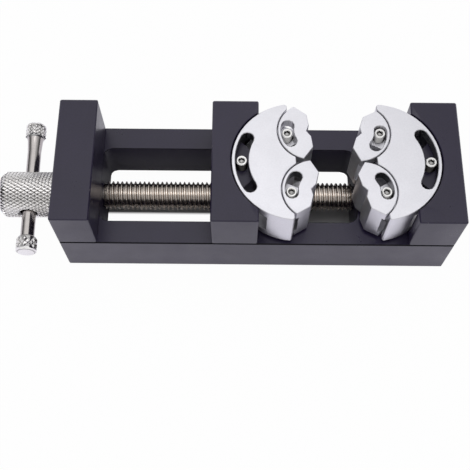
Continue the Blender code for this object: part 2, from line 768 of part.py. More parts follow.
def small_jaw():
    """A small jaw facing +X from its swivel axis: grooved back and an arc slot."""
    body = prism(jaw_outline(), CRESCENT_BOTTOM, CRESCENT_TOP)
    groove = prism(jaw_groove_outline(), GROOVE_BOTTOM, GROOVE_TOP)
    slot = prism(
        arc_slot(JAW_SLOT_RADIUS, JAW_SLOT_WIDTH, JAW_SLOT_HALF_ANGLE),
        CRESCENT_BOTTOM - OVERRUN,
        CRESCENT_TOP + OVERRUN,
    )
    return carve(body, cut=[groove, slot])


def stop_screw():
    """A set screw that hangs down from the origin, with a hexagon socket in its top."""
    bottom = -STOP_SCREW_LENGTH
    profile = [
        (bottom, STOP_SCREW_RADIUS - STOP_SCREW_CHAMFER),
        (bottom + STOP_SCREW_CHAMFER, STOP_SCREW_RADIUS),
        (-STOP_SCREW_CHAMFER, STOP_SCREW_RADIUS),
        (0, STOP_SCREW_RADIUS - STOP_SCREW_CHAMFER),
    ]
    key = rod(STOP_SCREW_KEY_RADIUS, -STOP_SCREW_KEY_DEPTH, OVERRUN, "Z", sides=6)
    return carve(turned(profile, "Z"), cut=[key])


def build_base(black, steel):
    """Everything that stays still, apart from the fixed crescent's own pieces."""
    base = pivot("base", (0, 0, 0))
    place("base_frame", base_frame(), black, base)
    place("screw_end_block", screw_end_block(), black, base)
    place("fixed_block", fixed_block(), black, base)
    end, fixed = block_screw_places()
    screw = block_screw(TOUCH_GAP)
    for word, places in (("end", end), ("fixed", fixed)):
        for row, (x, y) in zip(("rear", "front"), places):
            place(f"{word}_block_screw_{row}", screw, steel, base, (x, y, 0))
    return base


def build_screw(base, nickel, steel, bronze):
    """The lead screw, its washer, knob, grub screw and tommy bar."""
    axis = pivot("screw_axis", (0, 0, SCREW_HEIGHT), parent=base)
    place("lead_screw", lead_screw(), steel, axis)
    place("thrust_washer", thrust_washer(), bronze, axis)
    place("handle_knob", handle_knob(), nickel, axis)
    place("knob_grub_screw", knob_grub_screw(), steel, axis)
    x, y = polar(BAR_OFFSET, 90 + BAR_SWING, (BAR_HOLE_X, 0))
    slide = pivot("bar_slide", (x, y, 0), BAR_SWING, axis)
    place("tommy_bar", tommy_bar(), nickel, slide)
    place("tommy_bar_cap", tommy_bar_cap(), nickel, slide)


def build_carriage(base, black, steel):
    """The moving block with its keeper plate, as one sliding group."""
    carriage = pivot("carriage", (MOVING_AXIS, 0, 0), parent=base)
    place("moving_block", moving_block(), black, carriage)
    place("keeper_plate", keeper_plate(), steel, carriage)
    screw = keeper_screw()
    x = MOVING_BLOCK_MIDDLE - MOVING_AXIS
    for row, side in (("rear", 1), ("front", -1)):
        place(f"keeper_screw_{row}", screw, steel, carriage, (x, side * KEEPER_SCREW_SPREAD, 0))
    return carriage


def build_jaws(base, carriage, silver, steel):
    """Both crescents with their small jaws and every stop screw."""
    crescent_mesh = crescent()
    jaw_mesh = small_jaw()
    screw_mesh = stop_screw()
    for word, carrier, turn, jaws in (
        ("moving", carriage, 0, (("rear", 1, MOVING_REAR_SWING), ("front", -1, MOVING_FRONT_SWING))),
        ("fixed", base, 180, (("rear", -1, FIXED_REAR_SWING), ("front", 1, FIXED_FRONT_SWING))),
    ):
        direction = math.cos(math.radians(turn))
        screw_at = (-direction * CRESCENT_SLOT_RADIUS, 0, CRESCENT_STOP_SCREW_TOP)
        place(f"{word}_crescent_stop_screw", screw_mesh, steel, carrier, screw_at)
        swivel = pivot(f"{word}_swivel", (0, 0, 0), turn + CRESCENT_REST_SWING, carrier)
        place(f"{word}_crescent", crescent_mesh, silver, swivel)
        for row, side, swing in jaws:
            centre = (JAW_REACH, side * JAW_SPREAD, 0)
            screw_at = (JAW_REACH - JAW_SLOT_RADIUS, side * JAW_SPREAD, JAW_STOP_SCREW_TOP)
            place(f"{word}_{row}_stop_screw", screw_mesh, steel, swivel, screw_at)
            jaw_swivel = pivot(f"{word}_{row}_swivel", centre, swing, swivel)
            place(f"{word}_{row}_jaw", jaw_mesh, silver, jaw_swivel)


def main():
    clear_scene()
    black = material("black_anodised", (0.045, 0.042, 0.052), 0.38, 0.6)
    silver = material("silver_anodised", (0.76, 0.76, 0.80), 0.35, 0.9)
    nickel = material("nickel_plate", (0.70, 0.67, 0.63), 0.22, 1.0)
    steel = material("bright_steel", (0.62, 0.59, 0.55), 0.30, 1.0)
    bronze = material("bronze", (0.55, 0.38, 0.20), 0.40, 1.0)
    base = build_base(black, steel)
    build_screw(base, nickel, steel, bronze)
    carriage = build_carriage(base, black, steel)
    build_jaws(base, carriage, silver, steel)


main()
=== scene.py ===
"""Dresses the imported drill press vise: milled anodised parts, a cut thread and cut knurls."""

import math

import bmesh
import bpy
from bpy.props import FloatProperty, FloatVectorProperty, IntProperty, PointerProperty
from mathutils import Matrix, Vector
from mathutils.bvhtree import BVHTree


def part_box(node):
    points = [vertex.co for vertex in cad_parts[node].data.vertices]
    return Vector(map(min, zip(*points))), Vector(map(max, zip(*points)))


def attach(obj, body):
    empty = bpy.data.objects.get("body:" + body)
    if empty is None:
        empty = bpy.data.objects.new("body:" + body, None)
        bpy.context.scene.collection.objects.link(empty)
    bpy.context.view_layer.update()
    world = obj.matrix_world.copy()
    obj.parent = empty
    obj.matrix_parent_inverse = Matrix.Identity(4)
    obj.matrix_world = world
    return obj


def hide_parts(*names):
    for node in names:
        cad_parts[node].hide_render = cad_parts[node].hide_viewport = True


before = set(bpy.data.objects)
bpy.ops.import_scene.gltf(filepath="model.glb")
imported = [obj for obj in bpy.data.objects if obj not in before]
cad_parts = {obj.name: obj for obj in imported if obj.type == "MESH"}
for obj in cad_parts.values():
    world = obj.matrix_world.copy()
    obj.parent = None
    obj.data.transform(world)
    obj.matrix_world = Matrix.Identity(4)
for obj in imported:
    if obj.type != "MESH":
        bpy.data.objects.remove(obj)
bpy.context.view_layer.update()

bl_info = {
    "name": "Drill press vise finishes",
    "version": (1, 0, 0),
    "blender": (4, 5, 0),
    "location": "3D View > Sidebar > Vise",
    "description": "Cuts the threads and knurls of the vise, finishes its parts and lights them",
    "category": "Object",
}

# Corners closer than WELD are one corner, and what is NEAR a plane counts as lying on it.
WELD = 1e-6
NEAR = WELD * 10
# How far a cutting tool reaches past what it cuts.
OVERRUN = 0.001
AXES = {"X": Vector((1, 0, 0)), "Y": Vector((0, 1, 0)), "Z": Vector((0, 0, 1))}
FACING = {"X": (0, math.pi / 2, 0), "Y": (-math.pi / 2, 0, 0), "Z": (0, 0, 0)}
# How much of a face's normal points along an axis, for faces square to it and for bevels.
LOOKS_ALONG = 0.9
BEVEL_SLOPE = (0.3, 0.95)
# Marks on the faces, which the materials read: worn edges with painted sheen, and painted shade.
WEAR_AND_SHEEN = "worn_edge_and_sheen"
PAINTED_SHADE = "painted_shade"

screw_low, screw_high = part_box("lead_screw")
knob_low, knob_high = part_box("handle_knob")
bar_low, bar_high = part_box("tommy_bar")
base_low, base_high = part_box("base_frame")
screw_axis_height = (screw_low.z + screw_high.z) / 2
knob_middle = (knob_low + knob_high) / 2


def length(name, description, default, **limits):
    """A size in metres, for the panel."""
    return FloatProperty(
        name=name, description=description, default=default,
        precision=5, unit="LENGTH", **limits,
    )


def count(name, description, default, least):
    """A whole number, for the panel."""
    return IntProperty(name=name, description=description, default=default, min=least)


def colour(name, description, default):
    """A colour, for the panel."""
    return FloatVectorProperty(
        name=name, description=description, default=default,
        subtype="COLOR", min=0.0, max=1.0,
    )


class ViseSizes(bpy.types.PropertyGroup):
    """Sizes that the finishing of the vise uses, in metres."""

    edge_break: length(
        "Edge break", "Width of the small bevel on the milled black parts", 0.00014, min=0.0
    )
    jaw_edge_break: length(
        "Jaw edge break", "Width of the small bevel on the crescents and jaws", 0.00016, min=0.0
    )
    screw_radius: length(
        "Lead screw radius", "Outer radius of the lead screw's thread",
        (screw_high.z - screw_low.z) / 2,
    )
    screw_pitch: length("Lead screw pitch", "Travel of the moving block for one turn", 0.00125)
    journal_radius: length("Journal radius", "Radius of the screw's plain ends", 0.0030)
    stop_pitch: length("Stop screw pitch", "Thread pitch of the small set screws", 0.0005)
    knob_knurls: count("Knob knurls", "Diamonds in one row round the knob", 38, least=8)
    knob_rows: count("Knob rows", "Rows of diamonds along the knob", 9, least=2)
    knurl_depth: length("Knurl depth", "Depth of the knob's knurl", 0.00042)
    rear_cap_knurls: count("Rear cap knurls", "Diamonds round the rear cap", 15, least=6)
    front_cap_knurls: count("Front cap knurls", "Diamonds round the front cap", 12, least=6)
    cap_knurl_depth: length("Cap knurl depth", "Depth of the knurl on the bar's caps", 0.00036)
    bar_radius: length("Tommy bar radius", "Radius of the bar between its caps", 0.0019)
    bar_length: length("Tommy bar length", "Length of the bar over both caps", 0.0396)
    bar_offset: length("Tommy bar offset", "How far the bar has slid towards the back", 0.0023)
    bar_lean: FloatProperty(
        name="Tommy bar lean",
        description="How far the bar is turned askew in its loose hole",
        default=math.radians(1.4), unit="ROTATION",
    )
    cap_length: length("Cap length", "Length of a cap of the tommy bar", 0.0045)
    bore_shift: length("Cross hole shift", "From the knob's middle to its cross hole", 0.0005)
    bore_gap: length("Cross hole gap", "Play of the tommy bar in the cross hole", 0.00045)


class ViseColours(bpy.types.PropertyGroup):
    """Colours of the finishes."""

    black: colour("Black anodising", "Dye of the base and the blocks", (0.016, 0.0115, 0.034))
    silver: colour("Clear anodising", "Metal of the crescents and jaws", (0.77, 0.765, 0.80))
    bare: colour("Bare aluminium", "Metal that shows on a worn edge", (0.62, 0.61, 0.62))
    stainless: colour("Stainless steel", "Metal of the lead screw", (0.82, 0.75, 0.685))
    nickel: colour("Nickel plate", "Plating of the knob and the bar's caps", (1.0, 0.965, 0.935))
    bar_steel: colour("Bar steel", "Polished bar between its caps", (0.52, 0.49, 0.47))
    bronze: colour("Bronze", "Metal of the thrust washer", (0.55, 0.38, 0.20))
    paper: colour("Floor", "Colour of the studio floor", (0.90, 0.90, 0.90))
    oxide: colour("Black oxide", "Sides of the stop screws", (0.05, 0.047, 0.045))
    # This colour also makes the painted light on the stop screws' socket floors and on the threads
    # of the jaws' screws.
    ground_and_sheen: colour("Ground steel", "Bright tops of the stop screws", (0.86, 0.85, 0.83))


class ViseStage(bpy.types.PropertyGroup):
    """Camera and light."""

    camera_place: FloatVectorProperty(
        name="Camera place", description="Where the camera stands",
        default=(-0.03556, -0.10196, 0.22295), subtype="TRANSLATION", unit="LENGTH",
    )
    camera_turn: FloatVectorProperty(
        name="Camera angles", description="Elevation, heading and roll of the view",
        default=(1.17342, 0.0082, 0.00138), subtype="EULER", unit="ROTATION",
    )
    focal_length: FloatProperty(
        name="Focal length", description="In millimetres, for a sensor 36 mm wide",
        default=64.69,
    )
    softbox_power: FloatProperty(
        name="Softbox power", description="Power of the overhead softbox in watts",
        default=0.25,
    )
    floor_glow: FloatProperty(
        name="Floor glow", description="Share of plain white in the floor as the camera sees it",
        default=0.97, min=0.0, max=1.0,
    )
    mirrored_glow: FloatProperty(
        name="Mirrored glow", description="Share of plain white in the floor as metal shows it",
        default=0.61, min=0.0, max=1.0,
    )


def pick(piece):
    """Selects this object and nothing else, and makes it active."""
    bpy.ops.object.select_all(action="DESELECT")
    piece.select_set(True)
    bpy.context.view_layer.objects.active = piece


def begin_edit(piece):
    pick(piece)
    bpy.ops.object.mode_set(mode="EDIT")


def end_edit():
    bpy.ops.object.mode_set(mode="OBJECT")


def settle():
    """Puts the active object's place, turn and size into its mesh."""
    bpy.ops.object.transform_apply(location=True, rotation=True, scale=True)


def choose(kind, test):
    """In edit mode, selects the corners, edges or faces that pass the test, and no others."""
    bpy.ops.mesh.select_mode(type=kind)
    bpy.ops.mesh.select_all(action="DESELECT")
    mesh = bpy.context.active_object.data
    shape = bmesh.from_edit_mesh(mesh)
    items = {"VERT": shape.verts, "EDGE": shape.edges, "FACE": shape.faces}[kind]
    found = 0
    for item in items:
        if test(item):
            item.select_set(True)
            found += 1
    bmesh.update_edit_mesh(mesh)
    if not found:
        raise RuntimeError(f"nothing to select on {bpy.context.active_object.name}")


def all_of(item):
    return True


def face_outwards():
    """In edit mode, welds the shape and turns every face outwards."""
    bpy.ops.mesh.select_all(action="SELECT")
    bpy.ops.mesh.remove_doubles(threshold=WELD)
    bpy.ops.mesh.normals_make_consistent(inside=False)


def apply_modifier(piece, kind, **settings):
    pick(piece)
    modifier = piece.modifiers.new(kind.lower(), kind)
    for key, value in settings.items():
        setattr(modifier, key, value)
    bpy.ops.object.modifier_apply(modifier=modifier.name)


def cut(piece, tool, operation="DIFFERENCE"):
    """Applies a Boolean with the tool and removes the tool."""
    apply_modifier(piece, "BOOLEAN", operation=operation, solver="EXACT", object=tool)
    bpy.data.objects.remove(tool, do_unlink=True)


def smooth(piece, degrees=35):
    pick(piece)
    bpy.ops.object.shade_smooth_by_angle(angle=math.radians(degrees))


def hand_over(piece, body, finish, node):
    """Gives a finished piece its material and its body, and hides the node that it stands for."""
    piece.data.materials.clear()
    piece.data.materials.append(bpy.data.materials[finish])
    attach(piece, body)
    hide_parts(node)


def draw_out(along, centre, start, radius, steps):
    """In edit mode, extrudes what is selected to each (distance, radius) in turn."""
    for distance, next_radius in steps:
        bpy.ops.mesh.extrude_region_move(
            TRANSFORM_OT_translate={"value": along * (distance - start)}
        )
        share = next_radius / radius
        bpy.ops.transform.resize(
            value=(share, share, share), center_override=centre + along * distance
        )
        start, radius = distance, next_radius


def lathe(name, axis, centre, profile, sides=48):
    """A turned solid: a disc is drawn out along the axis and resized at each point.

    The profile is a list of (distance from the centre, radius) pairs."""
    along = AXES[axis]
    start, radius = profile[0]
    bpy.ops.mesh.primitive_circle_add(
        vertices=sides, radius=radius, fill_type="NGON",
        location=centre + along * start, rotation=FACING[axis],
    )
    piece = bpy.context.active_object
    piece.name = name
    settle()
    begin_edit(piece)
    choose("FACE", all_of)
    draw_out(along, centre, start, radius, profile[1:])
    face_outwards()
    end_edit()
    return piece


def threaded_rod(name, axis, centre, low, high, radius, pitch, steps):
    """A closed rod with a right-hand thread from low to high along the axis.

    One pitch of the outline is drawn point by point, swept by a Screw, and cut off square.
    The sweep starts before low and ends after high, off the planes of the cuts."""
    along = AXES[axis]
    out = AXES["Z"] if axis == "X" else AXES["X"]
    crest, root, flank = pitch / 8, pitch / 4, pitch * 5 / 16
    depth = flank * math.tan(math.radians(60))
    lead_in, spare_turns = pitch * 1.37, 3
    turns = math.ceil((high - low) / pitch) + spare_turns
    bpy.ops.mesh.primitive_plane_add(size=radius, location=centre + along * (low - lead_in))
    piece = bpy.context.active_object
    piece.name = name
    begin_edit(piece)
    choose("VERT", all_of)
    bpy.ops.mesh.merge(type="CENTER")
    bpy.ops.transform.translate(value=out * (radius - depth))
    for run, rise in ((root, 0), (flank, depth), (crest, 0), (flank, -depth)):
        bpy.ops.mesh.extrude_vertices_move(
            TRANSFORM_OT_translate={"value": along * run + out * rise}
        )
    end_edit()
    apply_modifier(
        piece, "SCREW", axis=axis, angle=math.tau, screw_offset=pitch, iterations=turns,
        steps=steps, render_steps=steps, use_merge_vertices=True, merge_threshold=WELD,
    )
    settle()
    begin_edit(piece)
    face_outwards()
    for distance, sign in ((low, -1), (high, 1)):
        bpy.ops.mesh.select_all(action="SELECT")
        bpy.ops.mesh.bisect(
            plane_co=centre + along * distance, plane_no=along * sign,
            use_fill=True, clear_outer=True, threshold=WELD / 10,
        )
    face_outwards()
    end_edit()
    return piece


def threaded_pin(name, axis, centre, low, high, radius, pitch, chamfer, steps, sides):
    """A threaded rod whose ends are turned to a chamfer, by a blank a little wider than it."""
    piece = threaded_rod(
        name, axis, centre, low - chamfer, high + chamfer, radius, pitch, steps
    )
    end = radius - chamfer
    outside = radius * 1.02
    blank = lathe(
        "blank", axis, centre,
        [(low, end), (low + chamfer, outside), (high - chamfer, outside), (high, end)], sides,
    )
    cut(piece, blank, "INTERSECT")
    return piece


def knurled_grip(name, axis, centre, first, row, rows, around, radius, depth):
    """An open tube with a diamond knurl, one row of diamonds after another.

    Each square of a plain grid is poked, and the square's own sides are dissolved, which
    leaves diamonds; each diamond is then raised into a pyramid with a small flat."""
    along = AXES[axis]
    bpy.ops.mesh.primitive_circle_add(
        vertices=around, radius=radius - depth,
        location=centre + along * first, rotation=FACING[axis],
    )
    piece = bpy.context.active_object
    piece.name = name
    settle()
    begin_edit(piece)
    choose("EDGE", all_of)
    for _ in range(rows):
        bpy.ops.mesh.extrude_region_move(TRANSFORM_OT_translate={"value": along * row})
    face_outwards()
    slack = 0.1

    def on_grid(corner):
        place = ((corner.co - centre).dot(along) - first) / row
        return abs(place - round(place)) < slack

    choose("FACE", all_of)
    bpy.ops.mesh.poke()
    choose("EDGE", lambda edge: not edge.is_boundary and all(map(on_grid, edge.verts)))
    bpy.ops.mesh.dissolve_edges(use_verts=False)
    choose("FACE", lambda face: len(face.verts) == 4)
    half_around = math.pi * radius / around
    half_along = row / 2
    side = math.hypot(half_around, half_along)
    flat = 0.42
    bpy.ops.mesh.inset(
        thickness=(1 - flat) * half_around * half_along / side, depth=depth,
        use_individual=True, use_even_offset=True,
    )
    return piece


def close_tube(axis, centre, ring, steps):
    """In edit mode, closes the end of a tube at ring with rings at (distance, radius)."""
    along = AXES[axis]

    def at_ring(edge):
        places = [abs((corner.co - centre).dot(along) - ring) for corner in edge.verts]
        return edge.is_boundary and max(places) < NEAR

    choose("EDGE", at_ring)
    shape = bmesh.from_edit_mesh(bpy.context.active_object.data)
    corner = next(corner for corner in shape.verts if corner.select)
    spoke = corner.co - centre
    draw_out(along, centre, ring, (spoke - along * spoke.dot(along)).length, steps)
    bpy.ops.mesh.edge_face_add()


def copy_of_node(node, name):
    """A welded copy of a CAD node, with its flat faces whole again."""
    piece = bpy.data.objects.new(name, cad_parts[node].data.copy())
    bpy.context.scene.collection.objects.link(piece)
    begin_edit(piece)
    bpy.ops.mesh.select_all(action="SELECT")
    bpy.ops.mesh.customdata_custom_splitnormals_clear()
    bpy.ops.mesh.remove_doubles(threshold=WELD)
    bpy.ops.mesh.dissolve_limited(angle_limit=math.radians(0.5))
    end_edit()
    return piece


def break_edges(piece, width, top, least_angle):
    """Bevels the edges at the top height that are sharper than the angle, in degrees."""

    def sharp_at_top(edge):
        level = all(abs(corner.co.z - top) < NEAR for corner in edge.verts)
        return level and math.degrees(edge.calc_face_angle(0.0)) > least_angle

    begin_edit(piece)
    choose("EDGE", sharp_at_top)
    bpy.ops.mesh.bevel(
        offset=width, offset_type="OFFSET", segments=1, affect="EDGES", clamp_overlap=False,
    )
    end_edit()


def on_bevel(face):
    """Whether a face slopes up as the bevel round a flat top does."""
    least, most = BEVEL_SLOPE
    return least < face.normal.z < most


def mark_faces(piece, mark, test, value=1.0):
    """Gives the faces that pass the test this value of a mark that the materials read."""
    mesh = piece.data
    marked = mesh.attributes.get(mark) or mesh.attributes.new(mark, "FLOAT", "CORNER")
    for face in mesh.polygons:
        if test(face):
            for corner in face.loop_indices:
                marked.data[corner].value = value


def mark_recess(piece, axis, centre, radius, depth, reach=1.0):
    """Marks how far each corner of a turned piece lies below its outer radius.

    The mark rises from 0 at the outside to 1 at the depth. Faces that look along the axis and
    corners further along it than the reach stay unmarked."""
    along = AXES[axis]
    mesh = piece.data
    marked = mesh.attributes.new(PAINTED_SHADE, "FLOAT", "CORNER")
    for face in mesh.polygons:
        if abs(face.normal.dot(along)) > LOOKS_ALONG:
            continue
        for corner in face.loop_indices:
            spoke = mesh.vertices[mesh.loops[corner].vertex_index].co - centre
            distance = spoke.dot(along)
            below = radius - (spoke - along * distance).length
            if abs(distance) < reach:
                marked.data[corner].value = min(1.0, max(0.0, below / depth))


def mark_inner_walls(piece, reach, value):
    """Marks as recesses the faces that look at another face of the same piece within reach."""
    mesh = piece.data
    tree = BVHTree.FromPolygons(
        [corner.co for corner in mesh.vertices], [face.vertices for face in mesh.polygons]
    )

    def looks_inside(face):
        start = face.center + face.normal * NEAR
        return tree.ray_cast(start, face.normal, reach)[0] is not None

    mark_faces(piece, PAINTED_SHADE, looks_inside, value)


def new_group(name, inputs, outputs):
    """An empty shader node group with named sockets; returns the tree and its two ends."""
    tree = bpy.data.node_groups.new(name, "ShaderNodeTree")
    for socket, kind, value in inputs:
        made = tree.interface.new_socket(name=socket, in_out="INPUT", socket_type=kind)
        made.default_value = value
    for socket, kind in outputs:
        tree.interface.new_socket(name=socket, in_out="OUTPUT", socket_type=kind)
    start = tree.nodes.new("NodeGroupInput")
    end = tree.nodes.new("NodeGroupOutput")
    return tree, start.outputs, end.inputs


def add_node(tree, kind, inputs=None, **settings):
    """Adds a node, sets its options, and sets or links its inputs."""
    made = tree.nodes.new(kind)
    for key, value in settings.items():
        setattr(made, key, value)
    for key, value in (inputs or {}).items():
        if isinstance(value, bpy.types.NodeSocket):
            tree.links.new(value, made.inputs[key])
        else:
            made.inputs[key].default_value = value
    return made


def use_group(tree, name, **inputs):
    made = add_node(tree, "ShaderNodeGroup", inputs, node_tree=bpy.data.node_groups[name])
    return made.outputs


def object_place(tree):
    return add_node(tree, "ShaderNodeTexCoord").outputs["Object"]


def noise(tree, place, scale, detail, roughness=0.55):
    made = add_node(
        tree, "ShaderNodeTexNoise",
        {"Vector": place, "Scale": scale, "Detail": detail, "Roughness": roughness},
    )
    return made.outputs["Fac"]


def remap(tree, value, low, high, to_low=0.0, to_high=1.0, **settings):
    """A value from the range low to high, brought to the new range and kept in it."""
    made = add_node(
        tree, "ShaderNodeMapRange",
        {"Value": value, "From Min": low, "From Max": high, "To Min": to_low, "To Max": to_high},
        **settings,
    )
    return made.outputs["Result"]


def sums(tree, operation, first, second=0.0):
    made = add_node(tree, "ShaderNodeMath", {0: first, 1: second}, operation=operation)
    return made.outputs["Value"]


def mix_colour(tree, share, first, second):
    made = add_node(tree, "ShaderNodeMix", {0: share, 6: first, 7: second}, data_type="RGBA")
    return made.outputs[2]


def dress(tree, shader, skin, gloss, height, relief):
    """Links a finish's colour and gloss to the shader, and its height as a bump this deep."""
    made = add_node(
        tree, "ShaderNodeBump", {"Height": height, "Distance": relief, "Strength": 1.0}
    )
    tree.links.new(made.outputs["Normal"], shader.inputs["Normal"])
    tree.links.new(skin, shader.inputs["Base Color"])
    tree.links.new(gloss, shader.inputs["Roughness"])


def shade_of(colour, factor):
    return tuple(min(1.0, part * factor) for part in colour) + (1.0,)


def blasted_grain_group():
    """Fine grain of blasted and anodised metal, with faint clouds in its tone."""
    tree, given, result = new_group(
        "blasted_grain",
        [("Grain", "NodeSocketFloat", 2600.0), ("Clouds", "NodeSocketFloat", 90.0)],
        [("Height", "NodeSocketFloat"), ("Tone", "NodeSocketFloat")],
    )
    place = object_place(tree)
    fine = noise(tree, place, given["Grain"], detail=4.0, roughness=0.7)
    clouds = noise(tree, place, given["Clouds"], detail=5.0)
    tree.links.new(fine, result["Height"])
    speck_share = 0.6
    speck = sums(tree, "MULTIPLY", remap(tree, fine, 0.35, 0.65), speck_share)
    cloud = sums(tree, "MULTIPLY", remap(tree, clouds, 0.3, 0.7), 1 - speck_share)
    tree.links.new(sums(tree, "ADD", speck, cloud), result["Tone"])


def tool_lines_group():
    """Lines left by a cutter: noise stretched along the way the tool moved."""
    tree, given, result = new_group(
        "tool_lines",
        [("Stretch", "NodeSocketVector", (1.0, 1.0, 1.0)), ("Scale", "NodeSocketFloat", 900.0)],
        [("Lines", "NodeSocketFloat")],
    )
    drawn = add_node(
        tree, "ShaderNodeVectorMath", {0: object_place(tree), 1: given["Stretch"]},
        operation="MULTIPLY",
    ).outputs["Vector"]
    tree.links.new(noise(tree, drawn, given["Scale"], detail=4.0, roughness=0.65), result["Lines"])


def wear_and_sheen_group():
    """Where the finish has rubbed off, and the painted sheen on the stop screws: the marked faces,
    broken up by patches.
    """
    tree, given, result = new_group(
        "edge_wear_and_sheen",
        [("Amount", "NodeSocketFloat", 0.4), ("Patch", "NodeSocketFloat", 700.0)],
        [("Mask", "NodeSocketFloat")],
    )
    marked = add_node(tree, "ShaderNodeAttribute", attribute_name=WEAR_AND_SHEEN).outputs["Fac"]
    patches = noise(tree, object_place(tree), given["Patch"], detail=5.0, roughness=0.6)
    least = sums(tree, "SUBTRACT", 1.0, given["Amount"])
    patch_edge = 0.12
    broken = remap(tree, patches, least, sums(tree, "ADD", least, patch_edge))
    tree.links.new(sums(tree, "MULTIPLY", marked, broken), result["Mask"])


def handling_group():
    """Faint smudges from handling, to vary the gloss."""
    tree, given, result = new_group(
        "handling",
        [("Size", "NodeSocketFloat", 120.0), ("Least", "NodeSocketFloat", 0.3),
         ("Most", "NodeSocketFloat", 0.4)],
        [("Gloss", "NodeSocketFloat")],
    )
    smudge = noise(tree, object_place(tree), given["Size"], detail=6.0, roughness=0.6)
    made = remap(tree, smudge, 0.3, 0.7, given["Least"], given["Most"])
    tree.links.new(made, result["Gloss"])


def dark_recess_group():
    """Painted shade in slots, joints, knurls and threads, from the mark on the shape."""
    tree, given, result = new_group(
        "dark_recess",
        [("Amount", "NodeSocketFloat", 0.8), ("Start", "NodeSocketFloat", 0.35)],
        [("Mask", "NodeSocketFloat")],
    )
    marked = add_node(tree, "ShaderNodeAttribute", attribute_name=PAINTED_SHADE).outputs["Fac"]
    made = remap(
        tree, marked, given["Start"], 0.95, 0.0, given["Amount"],
        interpolation_type="SMOOTHSTEP",
    )
    tree.links.new(made, result["Mask"])


def new_finish(name):
    """A new material; returns it, its tree and its Principled shader."""
    made = bpy.data.materials.new(name)
    if made.name != name:
        raise RuntimeError(f"a material named {name} is there already")
    made.use_nodes = True
    tree = made.node_tree
    return made, tree, tree.nodes["Principled BSDF"]


def black_anodised(colours):
    """Dyed aluminium, bare where it is worn, with painted shade on the base's bevels as the dark
    line under the blocks.
    """
    _, tree, shader = new_finish("dyed_aluminium")
    grain = use_group(tree, "blasted_grain", Grain=2600.0, Clouds=90.0)
    gloss = use_group(tree, "handling", Size=150.0, Least=0.27, Most=0.36)
    wear_sheen = use_group(tree, "edge_wear_and_sheen", Amount=0.34, Patch=600.0)
    # Painted shade: the base's marked bevels go near black and matt, as the dark line under the
    # blocks.
    seam_shade = use_group(tree, "dark_recess", Amount=1.0, Start=0.1)
    dye = mix_colour(
        tree, grain["Tone"], shade_of(colours.black, 0.75), shade_of(colours.black, 1.3)
    )
    skin = mix_colour(tree, wear_sheen["Mask"], dye, shade_of(colours.bare, 0.5))
    skin = mix_colour(tree, seam_shade["Mask"], skin, shade_of(colours.black, 0.1))
    dulled = sums(tree, "MAXIMUM", gloss["Gloss"], seam_shade["Mask"])
    tree.links.new(wear_sheen["Mask"], shader.inputs["Metallic"])
    dress(tree, shader, skin, dulled, grain["Height"], relief=0.000012)


def silver_anodised(colours):
    """Clear anodised aluminium, with shade on the walls of slots and grooves."""
    _, tree, shader = new_finish("blasted_aluminium")
    grain = use_group(tree, "blasted_grain", Grain=3200.0, Clouds=140.0)
    gloss = use_group(tree, "handling", Size=260.0, Least=0.33, Most=0.42)
    shade = use_group(tree, "dark_recess", Amount=0.75, Start=0.1)
    metal = mix_colour(
        tree, grain["Tone"], shade_of(colours.silver, 0.93), shade_of(colours.silver, 1.04)
    )
    metal = mix_colour(tree, shade["Mask"], metal, shade_of(colours.silver, 0.06))
    shader.inputs["Metallic"].default_value = 1.0
    dress(tree, shader, metal, gloss["Gloss"], grain["Height"], relief=0.000010)


def turned_metal(name, colour, stretch, least, most, relief, shade=0.4, start=0.6):
    """Bright turned metal, with the fine rings of a lathe tool and darker grooves.

    Its roughness lies between least and most, and the shade of a groove begins at start, as
    a share of the groove's depth."""
    _, tree, shader = new_finish(name)
    lines = use_group(tree, "tool_lines", Stretch=stretch, Scale=1500.0)
    gloss = use_group(tree, "handling", Size=400.0, Least=least, Most=most)
    metal = mix_colour(tree, lines["Lines"], shade_of(colour, 0.86), shade_of(colour, 1.1))
    # Painted shade in the grooves, from the mark on the shape.
    groove_shade = use_group(tree, "dark_recess", Amount=shade, Start=start)
    metal = mix_colour(tree, groove_shade["Mask"], metal, shade_of(colour, 0.03))
    shader.inputs["Metallic"].default_value = 1.0
    dress(tree, shader, metal, gloss["Gloss"], lines["Lines"], relief)


def oxide_steel(colours):
    """Blackened steel, bright on its marked faces: the bright steel tops, and painted light on the
    socket floors and on the threads of the jaws' screws.
    """
    _, tree, shader = new_finish("oxide_steel")
    lines = use_group(tree, "tool_lines", Stretch=(0.08, 0.08, 1.0), Scale=1500.0)
    gloss = use_group(tree, "handling", Size=400.0, Least=0.24, Most=0.36)
    wear_sheen = use_group(tree, "edge_wear_and_sheen", Amount=0.95, Patch=500.0)
    dark = mix_colour(
        tree, lines["Lines"], shade_of(colours.oxide, 0.8), shade_of(colours.oxide, 1.2)
    )
    skin = mix_colour(tree, wear_sheen["Mask"], dark, shade_of(colours.ground_and_sheen, 1.0))
    shader.inputs["Metallic"].default_value = 1.0
    dress(tree, shader, skin, gloss["Gloss"], lines["Lines"], relief=0.000005)


